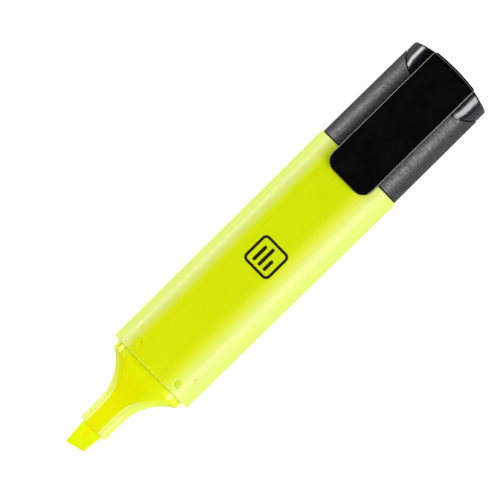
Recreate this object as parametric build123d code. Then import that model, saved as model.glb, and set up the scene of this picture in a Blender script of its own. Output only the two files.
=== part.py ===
from build123d import *
import os
from math import cos, radians, sin, sqrt

# Flat-barrelled highlighter, lying on its broad face with its cap posted on the back.
#
# +X runs from the nib to the cap, +Y across the broad face, +Z up through the clip.
# The origin is the middle of the bounding box, at the bottom, where the barrel rests.
# A station is a distance along the pen from the nib's tip. All sizes are millimetres.

# ---- overall ----
LENGTH = 128.2  # nib tip to the back of the cap
BARREL_THICKNESS = 15.6
AXIS_Z = BARREL_THICKNESS / 2

# ---- barrel ----
BARREL_START = 26.0
BARREL_END = 95.3
BARREL_FRONT_WIDTH = 24.4
BARREL_REAR_WIDTH = 24.85
BARREL_CORNER = 7.0
BARREL_WALL = 1.2
SHOULDER_ROUND = 0.35
FLAT_TRIM = 0.01  # shaved off both broad faces, so that they are true planes
BORE_WIDTH = BARREL_FRONT_WIDTH - 2 * BARREL_WALL
BORE_THICKNESS = BARREL_THICKNESS - 2 * BARREL_WALL
BORE_CORNER = BARREL_CORNER - BARREL_WALL

# ---- front section: nozzle, flare, collar and the skirt inside the barrel ----
NOZZLE_MOUTH = 6.7
NOZZLE_WIDTH = 8.0
NOZZLE_THICKNESS = 6.4
NOZZLE_CORNER = 1.9
NOZZLE_ROUND = 0.4
FLARE_START = 12.8
COLLAR_START = 24.2
COLLAR_WIDTH = 20.95
COLLAR_THICKNESS = 11.9
COLLAR_CORNER = 5.3
FRONT_WALL = 1.2
FLARE_STATIONS = (12.8, 15.0, 17.0, 19.0, 21.0, 22.75, 24.2)
HOLLOW_START = 17.0  # the flare is hollow from here back
SKIRT_LENGTH = 8.5
SKIRT_WALL = 1.0
SKIRT_CHAMFER = 0.3
COLLAR_RIB_ANGLES = (38.0, 61.0)  # from the broad face's normal
COLLAR_RIB_LENGTH = 1.5
COLLAR_RIB_WIDTH = 0.9
COLLAR_RIB_RISE = 0.17

# ---- snap pegs and pips on the barrel's shoulder ----
PEG_STATION = 28.7
PEG_OFFSET = 7.0
PEG_DIAMETER = 2.04
PEG_HOLE_DIAMETER = 2.2
PEG_RECESS = 0.2
PIP_STATION = 32.3
PIP_OFFSET = 9.35
PIP_DIAMETER = 1.36
PIP_RISE = 0.25

# ---- nib ----
NIB_WIDTH = 5.9
NIB_THICKNESS = 4.2
NIB_CORNER = 0.7
NIB_TIP_WIDTH = 4.8
NIB_SLANT = 1.34  # how far the short corner stands behind the long one
NIB_POINT = -0.107  # the long corner's sharp point, which rounding brings back to 0
NIB_BEVEL = 2.4
NIB_EDGE_THICKNESS = 1.5
NIB_TIP_ROUND = 0.35
NIB_END = 36.0
NIB_POINT_LENGTH = 2.5

# ---- ink reservoir ----
RESERVOIR_START = 26.4
RESERVOIR_END = 93.0
RESERVOIR_WIDTH = 15.6
RESERVOIR_THICKNESS = 10.0
RESERVOIR_CORNER = 4.9
FILM_THICKNESS = 0.25
FILM_OVERHANG = 0.3
RIB_THICKNESS = 0.8
RIB_OFFSET = 2.2
RIB_START = 40.0
RIB_END = 89.0
SIDE_RIB_CLEARANCE = 0.1

# ---- rear plug, whose stub carries the posted cap ----
PLUG_SKIRT_LENGTH = 4.5
STUB_LENGTH = 9.5
STUB_WALL = 1.2
STUB_ROUND = 0.8
STOP_SPAN = 6.0

# ---- cap: glossy shell inside a matte sleeve ----
CAP_START = 95.5
CAP_FRONT_WIDTH = 24.05
CAP_REAR_WIDTH = 23.85
CAP_THICKNESS = 15.0
CAP_CORNER = 6.85
SLEEVE_WALL = 0.6
SHELL_WALL = 0.75
CAP_CLEARANCE = 0.2
CAP_BORE_WIDTH = COLLAR_WIDTH + 2 * CAP_CLEARANCE
CAP_BORE_THICKNESS = COLLAR_THICKNESS + 2 * CAP_CLEARANCE
CAP_BORE_CORNER = COLLAR_CORNER + CAP_CLEARANCE
CAP_BORE_END = 125.4
CAP_EDGE_ROUND = 0.25
SLEEVE_EDGE = 119.4  # where the sleeve stops, on the middle of the broad face
SLEEVE_EDGE_FLAT = 5.6  # half the straight stretch of that edge
SLEEVE_EDGE_RADIUS = 7.2
SLEEVE_TAPER_END = 126.0
GROOVE = 0.3
CAP_END_WIDTH = 23.57
CAP_END_THICKNESS = 14.5
CAP_END_CORNER = 6.6
CAP_END = 128.05
CAP_BOW_RADIUS = 36.0  # of the cap's back face, seen from above
END_ROUND = 0.5

# ---- clip and its seat on the cap ----
CLIP_BOW_RADIUS = 50.0  # of the clip's back edge and the flange behind it
CLIP_START = 90.7
CLIP_WIDTH = 13.4
CLIP_THICKNESS = 1.7
CLIP_UNDERSIDE = 16.3
CLIP_FREE_CORNER = 3.0
CLIP_BEVEL = 0.38
CLIP_LOWER_ROUND = 0.25
CLIP_END = 127.72
FOOT_START = 125.2
FOOT_END = 126.8
FOOT_SPAN = 10.0
FOOT_BOTTOM = 14.7
GRIP_STATION = 93.2
GRIP_RADIUS = 0.9
GRIP_SPAN = 9.0
GRIP_BOTTOM = 15.85
SEAT_START = 120.6
SEAT_SPAN = 12.6
SEAT_TOP = 16.1
SEAT_BOTTOM = 12.0
FLANGE_START = 127.82
FLANGE_SPAN = 14.3
FLANGE_TOP = 17.75
FLANGE_BOTTOM = 10.5
EAR_START = 126.95
EAR_GAP = 0.15
FOOT_CLEARANCE = 0.15
FOOT_SWING_CLEARANCE = 0.35

# ---- inner seal, a cup that closes round the nozzle when the cap is on the front ----
SEAL_START = 110.5
SEAL_WALL = 1.1
SEAL_CLEARANCE = 0.1
SEAL_FLANGE = 0.8
SEAL_FLANGE_CLEARANCE = 0.08

SIDES = (-1, 1)
SPARE = 5.0  # how far cutting shapes run past what they cut


def at(station):
    """x of a station."""
    return station - LENGTH / 2


def section(station, width, thickness, corner):
    """Rounded rectangle across the pen, centred on its axis."""
    across = Plane(origin=(at(station), 0, AXIS_Z), x_dir=(0, 1, 0), z_dir=(1, 0, 0))
    return across * RectangleRounded(width, thickness, corner)


def prism(start, end, width, thickness, corner):
    """Straight run of one section from one station to another."""
    return extrude(section(start, width, thickness, corner), amount=end - start)


def block(start, end, low_y, high_y, low_z, high_z):
    """Plain box between two stations."""
    centre = Pos(at((start + end) / 2), (low_y + high_y) / 2, (low_z + high_z) / 2)
    return centre * Box(end - start, high_y - low_y, high_z - low_z)


def front_edges(solid):
    return solid.edges().group_by(Axis.X)[0]


def rear_edges(solid):
    return solid.edges().group_by(Axis.X)[-1]


def on_corner(offset_angle, width, thickness, corner, lift=0.0):
    """y and z, from the pen's axis, of a point on a section's rounded corner."""
    reach = corner + lift
    y = width / 2 - corner + reach * sin(radians(offset_angle))
    z = thickness / 2 - corner + reach * cos(radians(offset_angle))
    return y, z


# ---------------------------------------------------------------- barrel

def barrel_outer(inset=0.0):
    """The barrel's outside, or the same shape drawn in by an inset."""
    thickness = BARREL_THICKNESS + 2 * FLAT_TRIM - 2 * inset
    corner = BARREL_CORNER - inset
    front = section(BARREL_START, BARREL_FRONT_WIDTH - 2 * inset, thickness, corner)
    rear = section(BARREL_END, BARREL_REAR_WIDTH - 2 * inset, thickness, corner)
    between_flats = block(
        BARREL_START - SPARE, BARREL_END + SPARE, -BARREL_REAR_WIDTH, BARREL_REAR_WIDTH,
        inset, BARREL_THICKNESS - inset)
    return loft([front, rear], ruled=True) & between_flats


def barrel_width(station):
    share = (station - BARREL_START) / (BARREL_END - BARREL_START)
    return BARREL_FRONT_WIDTH + share * (BARREL_REAR_WIDTH - BARREL_FRONT_WIDTH)


def pegs(diameter):
    """Four upright rods through the barrel's wall, two on each broad face."""
    rods = []
    for side in SIDES:
        rod = Cylinder(diameter / 2, BARREL_THICKNESS + 2 * SPARE)
        rods.append(Pos(at(PEG_STATION), side * PEG_OFFSET, AXIS_Z) * rod)
    return rods


def pips():
    """Four low domes on the rounded corners, behind the shoulder."""
    width = barrel_width(PIP_STATION)
    ball = (PIP_DIAMETER ** 2 / 4 + PIP_RISE ** 2) / (2 * PIP_RISE)
    lean = (PIP_OFFSET - (width / 2 - BARREL_CORNER)) / BARREL_CORNER
    height = BARREL_THICKNESS / 2 - BARREL_CORNER + BARREL_CORNER * sqrt(1 - lean ** 2)
    sink = ball - PIP_RISE
    domes = []
    for side in SIDES:
        for face in SIDES:
            y = side * (PIP_OFFSET - sink * lean)
            z = AXIS_Z + face * (height - sink * sqrt(1 - lean ** 2))
            domes.append(Pos(at(PIP_STATION), y, z) * Sphere(ball))
    return domes


def reservoir_ribs():
    """Ribs along the bore that hold the reservoir in the middle of the barrel."""
    film_top = RESERVOIR_THICKNESS / 2 + FILM_THICKNESS
    film_side = RESERVOIR_WIDTH / 2 + FILM_THICKNESS + SIDE_RIB_CLEARANCE
    wall_top = BORE_THICKNESS / 2 + BARREL_WALL / 2
    wall_side = BORE_WIDTH / 2 + BARREL_WALL / 2
    half = RIB_THICKNESS / 2
    ribs = []
    for side in SIDES:
        low_y, high_y = sorted((side * film_side, side * wall_side))
        ribs.append(block(RIB_START, RIB_END, low_y, high_y, AXIS_Z - half, AXIS_Z + half))
        for face in SIDES:
            low_z, high_z = sorted((face * film_top, face * wall_top))
            centre = side * RIB_OFFSET
            ribs.append(block(
                RIB_START, RIB_END, centre - half, centre + half, AXIS_Z + low_z, AXIS_Z + high_z))
    return ribs


def make_barrel():
    """Open tube, a little wider at the back."""
    body = barrel_outer()
    body = fillet(front_edges(body), SHOULDER_ROUND)
    for dome in pips():
        body += dome
    body -= prism(BARREL_START, BARREL_END, BORE_WIDTH, BORE_THICKNESS, BORE_CORNER)
    for rod in pegs(PEG_HOLE_DIAMETER):
        body -= rod
    for rib in reservoir_ribs():
        body += rib
    return body


# ---------------------------------------------------------------- front section

def widening(station):
    """0 at the nozzle and 1 at the collar, along an arc that leaves the nozzle straight."""
    run = COLLAR_START - FLARE_START
    rise = (COLLAR_WIDTH - NOZZLE_WIDTH) / 2
    radius = (run ** 2 + rise ** 2) / (2 * rise)
    return (radius - sqrt(radius ** 2 - (station - FLARE_START) ** 2)) / rise


def thickening(station):
    """0 at the nozzle and 1 at the collar, along a wave that is level at both ends."""
    share = (station - FLARE_START) / (COLLAR_START - FLARE_START)
    return (1 - cos(radians(180 * share))) / 2


def flare_section(station, inset=0.0):
    width = NOZZLE_WIDTH + widening(station) * (COLLAR_WIDTH - NOZZLE_WIDTH)
    thickness = NOZZLE_THICKNESS + thickening(station) * (COLLAR_THICKNESS - NOZZLE_THICKNESS)
    corner = NOZZLE_CORNER + widening(station) * (COLLAR_CORNER - NOZZLE_CORNER)
    return section(station, width - 2 * inset, thickness - 2 * inset, corner - inset)


def collar_ribs():
    """Short ribs on the collar's rounded corners that centre the cap."""
    depth = 1.0
    ribs = []
    for angle in COLLAR_RIB_ANGLES:
        y, z = on_corner(angle, COLLAR_WIDTH, COLLAR_THICKNESS, COLLAR_CORNER, COLLAR_RIB_RISE - depth / 2)
        rib = Box(COLLAR_RIB_LENGTH, COLLAR_RIB_WIDTH, depth)
        for side in SIDES:
            for face in SIDES:
                place = Pos(at(BARREL_START - COLLAR_RIB_LENGTH / 2), side * y, AXIS_Z + face * z)
                ribs.append(place * Rot(-side * face * angle, 0, 0) * rib)
    return ribs


def make_front_section():
    """Nozzle, flared neck, collar and the skirt that snaps into the barrel."""
    skirt_end = BARREL_START + SKIRT_LENGTH
    nozzle = prism(NOZZLE_MOUTH, FLARE_START, NOZZLE_WIDTH, NOZZLE_THICKNESS, NOZZLE_CORNER)
    nozzle = fillet(front_edges(nozzle), NOZZLE_ROUND)
    flare = loft([flare_section(station) for station in FLARE_STATIONS])
    collar = prism(COLLAR_START, BARREL_START, COLLAR_WIDTH, COLLAR_THICKNESS, COLLAR_CORNER)
    skirt = prism(BARREL_START, skirt_end, BORE_WIDTH, BORE_THICKNESS, BORE_CORNER)
    skirt = chamfer(rear_edges(skirt), SKIRT_CHAMFER)
    body = nozzle + flare + collar + skirt
    for rib in collar_ribs():
        body += rib
    peg_reach = barrel_outer(PEG_RECESS)
    for rod in pegs(PEG_DIAMETER):
        body += rod & peg_reach
    hollow = [
        prism(NOZZLE_MOUTH, BARREL_START, NIB_WIDTH, NIB_THICKNESS, NIB_CORNER),
        loft([flare_section(s, FRONT_WALL) for s in FLARE_STATIONS if s >= HOLLOW_START]),
        prism(COLLAR_START, BARREL_START, COLLAR_WIDTH - 2 * FRONT_WALL,
              COLLAR_THICKNESS - 2 * FRONT_WALL, COLLAR_CORNER - FRONT_WALL),
        prism(BARREL_START, skirt_end, BORE_WIDTH - 2 * SKIRT_WALL,
              BORE_THICKNESS - 2 * SKIRT_WALL, BORE_CORNER - SKIRT_WALL),
    ]
    for space in hollow:
        body -= space
    return body


# ---------------------------------------------------------------- nib

def nib_blank():
    """Plan of the nib: a slanted tip, straight sides and a tapered back end."""
    half = NIB_WIDTH / 2
    tip = NIB_TIP_WIDTH / 2
    back = half * 0.6
    outline = Polygon(
        (at(NIB_POINT), tip), (at(NIB_SLANT), -tip), (at(NOZZLE_MOUTH), -half),
        (at(NIB_END - NIB_POINT_LENGTH), -half), (at(NIB_END), -back), (at(NIB_END), back),
        (at(NIB_END - NIB_POINT_LENGTH), half), (at(NOZZLE_MOUTH), half), align=None)
    return extrude(Pos(0, 0, AXIS_Z) * outline, amount=NIB_THICKNESS / 2, both=True)


def bevel_wedge(face):
    """Wedge that thins the nib towards its writing edge, on one broad face."""
    edge = Vector(NIB_SLANT, -NIB_TIP_WIDTH, 0).normalized()
    inward = Vector(-edge.Y, edge.X, 0)
    middle = (at(NIB_SLANT / 2), 0, AXIS_Z)
    slice_plane = Plane(origin=middle, x_dir=inward, z_dir=edge)
    half = NIB_THICKNESS / 2
    edge_half = NIB_EDGE_THICKNESS / 2
    slope = (half - edge_half) / NIB_BEVEL
    outline = Polygon(
        (-SPARE, face * (edge_half - SPARE * slope)), (NIB_BEVEL, face * half),
        (NIB_BEVEL, face * SPARE), (-SPARE, face * SPARE), align=None)
    return extrude(slice_plane * outline, amount=NIB_WIDTH, both=True)


def make_nib():
    """Felt chisel nib."""
    body = nib_blank()
    tip_corners = body.edges().filter_by(Axis.Z).filter_by_position(Axis.X, at(-1), at(NIB_SLANT + 1))
    body = fillet(tip_corners, NIB_TIP_ROUND)
    body = fillet(body.edges().filter_by(Axis.X), NIB_CORNER)
    for face in SIDES:
        body -= bevel_wedge(face)
    return body


# ---------------------------------------------------------------- reservoir

def make_reservoir_core():
    """Fibre slab that holds the ink, pierced at the front by the nib."""
    body = prism(RESERVOIR_START, RESERVOIR_END, RESERVOIR_WIDTH, RESERVOIR_THICKNESS, RESERVOIR_CORNER)
    return body - make_nib()


def make_reservoir_film():
    """Thin wrap round the fibre, open at both ends."""
    start = RESERVOIR_START - FILM_OVERHANG
    end = RESERVOIR_END + FILM_OVERHANG
    outer = prism(start, end, RESERVOIR_WIDTH + 2 * FILM_THICKNESS,
                  RESERVOIR_THICKNESS + 2 * FILM_THICKNESS, RESERVOIR_CORNER + FILM_THICKNESS)
    return outer - prism(start, end, RESERVOIR_WIDTH, RESERVOIR_THICKNESS, RESERVOIR_CORNER)


# ---------------------------------------------------------------- rear plug

def make_rear_plug():
    """Closes the barrel; its stub carries the cap, and a cross inside stops the reservoir."""
    skirt_start = BARREL_END - PLUG_SKIRT_LENGTH
    stub_end = BARREL_END + STUB_LENGTH
    skirt = prism(skirt_start, BARREL_END, BORE_WIDTH, BORE_THICKNESS, BORE_CORNER)
    skirt = chamfer(front_edges(skirt), SKIRT_CHAMFER)
    stub = prism(BARREL_END, stub_end, COLLAR_WIDTH, COLLAR_THICKNESS, COLLAR_CORNER)
    stub = fillet(rear_edges(stub), STUB_ROUND)
    body = skirt + stub
    body -= prism(skirt_start, BARREL_END, BORE_WIDTH - 2 * SKIRT_WALL,
                  BORE_THICKNESS - 2 * SKIRT_WALL, BORE_CORNER - SKIRT_WALL)
    body -= prism(BARREL_END - STUB_WALL, stub_end - STUB_WALL, COLLAR_WIDTH - 2 * STUB_WALL,
                  COLLAR_THICKNESS - 2 * STUB_WALL, COLLAR_CORNER - STUB_WALL)
    half = RIB_THICKNESS / 2
    span = STOP_SPAN / 2
    cross_start = RESERVOIR_END + FILM_OVERHANG
    cross_end = stub_end - STUB_WALL / 2
    body += block(cross_start, cross_end, -span, span, AXIS_Z - half, AXIS_Z + half)
    body += block(cross_start, cross_end, -half, half, AXIS_Z - span, AXIS_Z + span)
    return body


# ---------------------------------------------------------------- cap

def cap_end_zone(setback):
    """Upright column over the glossy end; its front edge sweeps back at the pen's sides."""
    length = 2 * (CAP_END - SLEEVE_EDGE)
    width = 2 * (SLEEVE_EDGE_FLAT + SLEEVE_EDGE_RADIUS)
    middle = at(SLEEVE_EDGE + setback + length / 2 + SLEEVE_EDGE_RADIUS)
    outline = RectangleRounded(length + 2 * SLEEVE_EDGE_RADIUS, width, SLEEVE_EDGE_RADIUS - 0.01)
    return extrude(Pos(middle, 0, AXIS_Z) * outline, amount=BARREL_THICKNESS, both=True)


def make_cap_sleeve():
    """Matte skin over the shell, cut back in a curve to show the glossy end."""
    front = section(CAP_START, CAP_FRONT_WIDTH, CAP_THICKNESS, CAP_CORNER)
    rear = section(SLEEVE_TAPER_END, CAP_REAR_WIDTH, CAP_THICKNESS, CAP_CORNER)
    body = loft([front, rear], ruled=True)
    body = fillet(front_edges(body), CAP_EDGE_ROUND)
    body -= prism(CAP_START, SLEEVE_TAPER_END, CAP_BORE_WIDTH + 2 * SHELL_WALL,
                  CAP_BORE_THICKNESS + 2 * SHELL_WALL, CAP_BORE_CORNER + SHELL_WALL)
    return body - cap_end_zone(0)


def bowed_plan(start, end, span, bow_radius=CLIP_BOW_RADIUS):
    """Plan that is square in front and bows out behind, furthest back on the pen's axis."""
    face = Pos(at((start + end) / 2), 0) * Rectangle(end - start, span)
    return face & (Pos(at(end) - bow_radius, 0) * Circle(bow_radius))


def upright(plan, low_z, high_z):
    return extrude(Pos(0, 0, low_z) * plan, amount=high_z - low_z)


def clip_seat():
    """Raised seat on the cap's end: a pocket for the clip's foot and a thin flange behind it."""
    seat = upright(bowed_plan(SEAT_START, LENGTH, SEAT_SPAN), SEAT_BOTTOM, SEAT_TOP)
    seat = fillet(seat.edges().filter_by(Axis.Z).group_by(Axis.X)[0], 1.5)
    flange = upright(bowed_plan(EAR_START, LENGTH, FLANGE_SPAN), FLANGE_BOTTOM, FLANGE_TOP)
    inside = CLIP_WIDTH / 2 + EAR_GAP
    clip_room = upright(bowed_plan(SEAT_START, FLANGE_START, 2 * inside), SEAT_TOP, FLANGE_TOP)
    pocket = block(
        FOOT_START - FOOT_SWING_CLEARANCE, FOOT_END + FOOT_CLEARANCE,
        -FOOT_SPAN / 2 - FOOT_CLEARANCE, FOOT_SPAN / 2 + FOOT_CLEARANCE,
        FOOT_BOTTOM - FOOT_CLEARANCE, FLANGE_TOP)
    return seat + (flange - clip_room), pocket


def make_cap_shell():
    """Glossy inner cap: a tube under the sleeve, the bowed end and the clip's seat."""
    tube = prism(CAP_START, CAP_BORE_END, CAP_BORE_WIDTH + 2 * SHELL_WALL,
                 CAP_BORE_THICKNESS + 2 * SHELL_WALL, CAP_BORE_CORNER + SHELL_WALL)
    end = prism(SLEEVE_EDGE, CAP_END + SPARE, CAP_END_WIDTH, CAP_END_THICKNESS, CAP_END_CORNER)
    end &= upright(
        bowed_plan(SLEEVE_EDGE, CAP_END, CAP_FRONT_WIDTH, CAP_BOW_RADIUS), 0, BARREL_THICKNESS)
    end = fillet(end.faces().sort_by(Axis.X)[-1].edges(), END_ROUND)
    seat, pocket = clip_seat()
    body = tube + (end & cap_end_zone(GROOVE)) + seat
    body -= prism(CAP_START, CAP_BORE_END, CAP_BORE_WIDTH, CAP_BORE_THICKNESS, CAP_BORE_CORNER)
    return body - pocket


def make_cap_inner_seal():
    """Cup that closes round the nozzle when the cap is on the front, on a plate at the cap's end."""
    width = NOZZLE_WIDTH + 2 * SEAL_CLEARANCE
    thickness = NOZZLE_THICKNESS + 2 * SEAL_CLEARANCE
    plate_start = CAP_BORE_END - SEAL_FLANGE
    gap = 2 * SEAL_FLANGE_CLEARANCE
    tube = prism(SEAL_START, plate_start, width + 2 * SEAL_WALL,
                 thickness + 2 * SEAL_WALL, NOZZLE_CORNER + SEAL_WALL)
    tube -= prism(SEAL_START, plate_start, width, thickness, NOZZLE_CORNER)
    return tube + prism(plate_start, CAP_BORE_END, CAP_BORE_WIDTH - gap,
                        CAP_BORE_THICKNESS - gap, CAP_BORE_CORNER)


# ---------------------------------------------------------------- clip

def make_clip():
    """Flat spring clip with a foot in the cap's seat and a grip bar under its free end."""
    plan = bowed_plan(CLIP_START, CLIP_END, CLIP_WIDTH)
    plate = upright(plan, CLIP_UNDERSIDE, CLIP_UNDERSIDE + CLIP_THICKNESS)
    plate = fillet(plate.edges().filter_by(Axis.Z).group_by(Axis.X)[0], CLIP_FREE_CORNER)
    plate = chamfer(plate.faces().sort_by(Axis.Z)[-1].edges(), CLIP_BEVEL)
    plate = fillet(plate.faces().sort_by(Axis.Z)[0].edges(), CLIP_LOWER_ROUND)
    inside = CLIP_UNDERSIDE + CLIP_THICKNESS / 2
    foot = block(FOOT_START, FOOT_END, -FOOT_SPAN / 2, FOOT_SPAN / 2, FOOT_BOTTOM, inside)
    bar = Pos(at(GRIP_STATION), 0, GRIP_BOTTOM + GRIP_RADIUS) * Rot(90, 0, 0)
    bar *= Cylinder(GRIP_RADIUS, GRIP_SPAN)
    below = block(CLIP_START, CLIP_END, -CLIP_WIDTH, CLIP_WIDTH, GRIP_BOTTOM - SPARE, inside)
    return plate + foot + (bar & below)


SUBPARTS = {
    "barrel": make_barrel,
    "front_section": make_front_section,
    "nib": make_nib,
    "reservoir_core": make_reservoir_core,
    "reservoir_film": make_reservoir_film,
    "rear_plug": make_rear_plug,
    "cap_shell": make_cap_shell,
    "cap_sleeve": make_cap_sleeve,
    "cap_inner_seal": make_cap_inner_seal,
    "clip": make_clip,
}

os.makedirs("parts", exist_ok=True)
for name, make in SUBPARTS.items():
    export_step(make(), f"parts/{name}.step")
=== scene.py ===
import math

import bmesh
import bpy
import numpy as np
from mathutils import Matrix, Vector, noise


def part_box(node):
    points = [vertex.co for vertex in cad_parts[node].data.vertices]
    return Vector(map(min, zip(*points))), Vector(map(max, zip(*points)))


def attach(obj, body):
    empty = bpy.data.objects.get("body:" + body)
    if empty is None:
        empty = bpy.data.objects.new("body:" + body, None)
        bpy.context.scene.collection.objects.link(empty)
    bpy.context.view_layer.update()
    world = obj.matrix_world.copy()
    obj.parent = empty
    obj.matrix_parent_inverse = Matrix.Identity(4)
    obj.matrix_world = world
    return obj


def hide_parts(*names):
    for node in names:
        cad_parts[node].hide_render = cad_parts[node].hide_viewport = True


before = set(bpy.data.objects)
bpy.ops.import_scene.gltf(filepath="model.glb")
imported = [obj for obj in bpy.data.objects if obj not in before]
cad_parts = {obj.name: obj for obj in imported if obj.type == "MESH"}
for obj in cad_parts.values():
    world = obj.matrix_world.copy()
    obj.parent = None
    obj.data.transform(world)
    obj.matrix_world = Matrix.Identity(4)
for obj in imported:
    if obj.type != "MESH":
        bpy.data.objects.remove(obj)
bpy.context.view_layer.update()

# Flat highlighter lying on its broad face, with its cap posted on the back.
# Sizes are in millimetres, except the floor, the lamps and the camera, which are in metres.
# A station is a distance along the pen from the nib's tip.
# A section is a rounded rectangle across the pen: width, thickness, corner radius.

MM = 0.001

# ---------------------------------------------------------------- places taken from the frame

low, high = {}, {}
for node in ("barrel", "front_section", "nib", "cap_shell", "cap_sleeve", "clip"):
    corner_low, corner_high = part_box(node)
    low[node], high[node] = corner_low / MM, corner_high / MM

TIP_X = low["nib"].x
AXIS_Z = (low["barrel"].z + high["barrel"].z) / 2
CLOSE_FIT = 0.07  # what the barrel and the cap each add towards the other, so that a hairline shows

# ---- barrel ----
BARREL_START = low["barrel"].x - TIP_X
BARREL_END = high["barrel"].x - TIP_X + CLOSE_FIT
BARREL_FRONT_WIDTH = 24.4
BARREL_REAR_WIDTH = high["barrel"].y - low["barrel"].y
BARREL_THICKNESS = high["barrel"].z - low["barrel"].z
BARREL_CORNER = 7.0
BORE = (22.0, 13.2, 5.8)
SHOULDER_ROUND = 0.35
BARREL_END_ROUND = 0.12
LIP_ROUND = 0.15
PEG_STATION = 28.7
PEG_OFFSET = 7.0
PEG_RADIUS = 1.07
PEG_HOLE_RADIUS = 1.1
PEG_RECESS = 0.04
PEG_ROOT = 1.8  # depth below the barrel's surface
PIP_STATION = 32.3
PIP_OFFSET = 9.35
PIP_RADIUS = 0.7
PIP_RISE = 0.32

# ---- front section ----
NOZZLE_MOUTH = low["front_section"].x - TIP_X
NOZZLE = (8.0, 6.4, 1.9)
NOZZLE_ROUND = 0.4
FLARE_START = 12.8
COLLAR_START = 24.2
COLLAR = (20.95, 11.9, 5.3)
FRONT_WALL = 1.2
HOLLOW_START = 17.0
COLLAR_RIB_ANGLES = (38.0, 61.0)
COLLAR_RIB_SIZE = (1.5, 0.9, 1.0)
COLLAR_RIB_RISE = 0.17
SKIRT_END = high["front_section"].x - TIP_X
SKIRT_WALL = 1.0
SKIRT_CHAMFER = 0.3

# ---- nib ----
NIB = (high["nib"].y - low["nib"].y, high["nib"].z - low["nib"].z, 0.7)
NIB_TIP_WIDTH = 4.8
NIB_SLANT = 1.34
NIB_BEVEL = 2.5
NIB_EDGE_THICKNESS = 1.5
NIB_TIP_ROUND = 0.35
NIB_END = high["nib"].x - TIP_X
NIB_POINT_LENGTH = 2.5
FIBRE_DEPTH = 0.04
FIBRE_REACH = 8.0  # how far back from the tip the fibres stand loose

# ---- cap ----
CAP_START = low["cap_sleeve"].x - TIP_X - CLOSE_FIT
SLEEVE_FRONT_WIDTH = high["cap_sleeve"].y - low["cap_sleeve"].y
SLEEVE_REAR_WIDTH = 23.85
SLEEVE_THICKNESS = high["cap_sleeve"].z - low["cap_sleeve"].z
SLEEVE_CORNER = 6.85
SLEEVE_ROUND = 0.14
SLEEVE_EDGE = 119.4
SLEEVE_EDGE_FLAT = 5.6
SLEEVE_EDGE_RADIUS = 7.2
SLEEVE_TAPER_END = 126.0
GROOVE = 0.3
GROOVE_DEPTH = 0.2
CAP_TUBE = (22.85, 13.8, 6.25)
TUBE_START = CAP_START - 0.03
CAP_BORE = (21.35, 12.3, 5.5)
CAP_BORE_END = 125.4
CAP_END_SECTION = (high["cap_shell"].y - low["cap_shell"].y, 14.5, 6.6)
CAP_END = 128.05
CAP_BOW_RADIUS = 36.0
END_ROUND = 0.5
END_EDGE_ROUND = 0.12

# ---- clip and its seat ----
CLIP_BOW_RADIUS = 50.0
CLIP_LEAD = 0.3  # how far the blade reaches past its solid
CLIP_START = low["clip"].x - TIP_X - CLIP_LEAD
CLIP_END = high["clip"].x - TIP_X
CLIP_WIDTH = high["clip"].y - low["clip"].y
CLIP_TOP = high["clip"].z
CLIP_UNDERSIDE = 16.3
CLIP_FREE_CORNER = 3.3
CLIP_TOP_ROUND = 0.42
CLIP_LOWER_ROUND = 0.25
FOOT = (125.2, 126.8)
FOOT_SPAN = 10.0
FOOT_BOTTOM = low["clip"].z
GRIP_STATION = 93.2
GRIP_RADIUS = 0.9
GRIP_SPAN = 9.0
GRIP_BOTTOM = 15.85
BACK = high["cap_shell"].x - TIP_X
SEAT_START = 120.6
SEAT_SPAN = 12.6
SEAT_BOTTOM = 12.0
SEAT_TOP = 16.1
SEAT_CORNER = 1.5
FLANGE_START = 127.82
FLANGE_SPAN = 14.3
FLANGE_BOTTOM = 10.5
FLANGE_TOP = high["cap_shell"].z
FLANGE_ROUND = 0.12
EAR_START = 126.95
EAR_GAP = 0.15
POCKET = (124.85, 126.95)
POCKET_SPAN = 10.3
POCKET_FLOOR = 14.55

# ---- printed mark: a plain rounded square round three lines ----
MARK_STATION = 64.7
MARK_SIZE = 8.2
MARK_CORNER = 1.4
MARK_LINE = 0.68
MARK_BARS = ((1.75, 4.6), (0.0, 5.4), (-1.75, 3.2))  # place across the pen, length
MARK_BAR_WIDTH = 0.85
MARK_RISE = 0.02
MARK_SINK = 0.05

SIDES = (-1, 1)
ARC_STEPS = 20
ROUND_STEPS = 5
FLAT_SHARES = (0.03, 0.12, 0.3, 0.5, 0.7, 0.88, 0.97)


# ---------------------------------------------------------------- mesh tools

def outline(section):
    """Points (y, z) round a section, seen from the pen's axis."""
    width, thickness, corner = section
    reach_y, reach_z = width / 2 - corner, thickness / 2 - corner
    centres = [np.array((a * reach_y, b * reach_z)) for a, b in ((1, 1), (-1, 1), (-1, -1), (1, -1))]
    points = []
    for quarter in range(4):
        centre, following = centres[quarter], centres[(quarter + 1) % 4]
        for step in range(ARC_STEPS + 1):
            angle = math.radians(90 * (quarter + step / ARC_STEPS))
            points.append(centre + corner * np.array((math.cos(angle), math.sin(angle))))
        arc_end = points[-1]
        for share in FLAT_SHARES:
            points.append(arc_end + (following - centre) * share)
    return np.array(points)


def drawn_in(section, inset):
    width, thickness, corner = section
    return width - 2 * inset, thickness - 2 * inset, max(corner - inset, 0.02)


def ring(station, section, inset=0.0):
    """A section's outline in space. The station is a number, or a function of the offset and the height."""
    flat = outline(drawn_in(section, inset))
    along = np.array([station(y, z) if callable(station) else station for y, z in flat])
    return np.column_stack((TIP_X + along, flat[:, 0], AXIS_Z + flat[:, 1]))


def rounding(station, section, radius, direction):
    """Rings that round off a section's end, from the end face to the full section."""
    rings = []
    for step in range(ROUND_STEPS + 1):
        angle = math.radians(90 * step / ROUND_STEPS)
        along = direction * radius * (1 - math.cos(angle))
        rings.append(ring(station + along, section, radius * (1 - math.sin(angle))))
    return rings


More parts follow.
